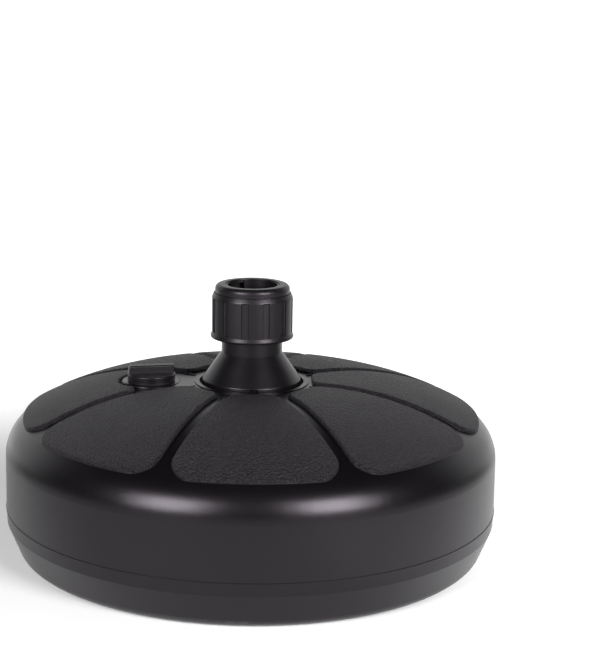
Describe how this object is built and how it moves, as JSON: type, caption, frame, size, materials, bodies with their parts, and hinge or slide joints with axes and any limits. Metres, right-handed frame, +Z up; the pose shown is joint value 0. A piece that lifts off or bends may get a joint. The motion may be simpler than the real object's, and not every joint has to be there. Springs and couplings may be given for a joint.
{
  "type": "parasol base",
  "caption": "Round water-filled parasol base with raised textured pads, a screw fill cap and a central pole socket with a fluted clamp nut.",
  "frame": {"origin": "centre of the underside, on the ground", "axes": "+Z up along the pole axis; -Y is the front, where one pad points; the fill cap lies towards -X"},
  "size_m": [0.4609, 0.461, 0.2515],
  "materials": {
    "tank": "satin blow-moulded polyethylene, pads with a leather grain",
    "fill_cap": "satin injection-moulded polypropylene",
    "cap_gasket": "matt rubber",
    "pole_socket": "satin injection-moulded polypropylene",
    "clamp_ring": "satin injection-moulded polyamide",
    "clamp_nut": "satin injection-moulded polypropylene"
  },
  "bodies": {
    "base": {"tank": "tank", "pole_socket": "pole_socket"},
    "ring": {"clamp_ring": "clamp_ring"},
    "nut": {"clamp_nut": "clamp_nut"},
    "gasket": {"cap_gasket": "cap_gasket"},
    "cap": {"fill_cap": "fill_cap"}
  },
  "joints": [
    {"name": "ring_lift", "type": "slide", "parent": "base", "child": "ring", "axis": [0, 0, 1], "range_m": [-0.00793, 0.05501]},
    {"name": "nut_turn", "type": "hinge", "parent": "ring", "child": "nut", "pos_m": [0, 0, 0.22], "axis": [0, 0, 1], "range_deg": [-570, 3960]},
    {"name": "gasket_lift", "type": "slide", "parent": "base", "child": "gasket", "axis": [0, 0, 1], "range_m": [0, 0.01801]},
    {"name": "cap_turn", "type": "hinge", "parent": "gasket", "child": "cap", "pos_m": [-0.09398, -0.00197, 0.165], "axis": [0, 0, 1], "range_deg": [0, 1620]}
  ],
  "couplings": [
    {"joint": "ring_lift", "follows": "nut_turn", "m_per_rad": 0.00079577},
    {"joint": "gasket_lift", "follows": "cap_turn", "m_per_rad": 0.00063662}
  ]
}
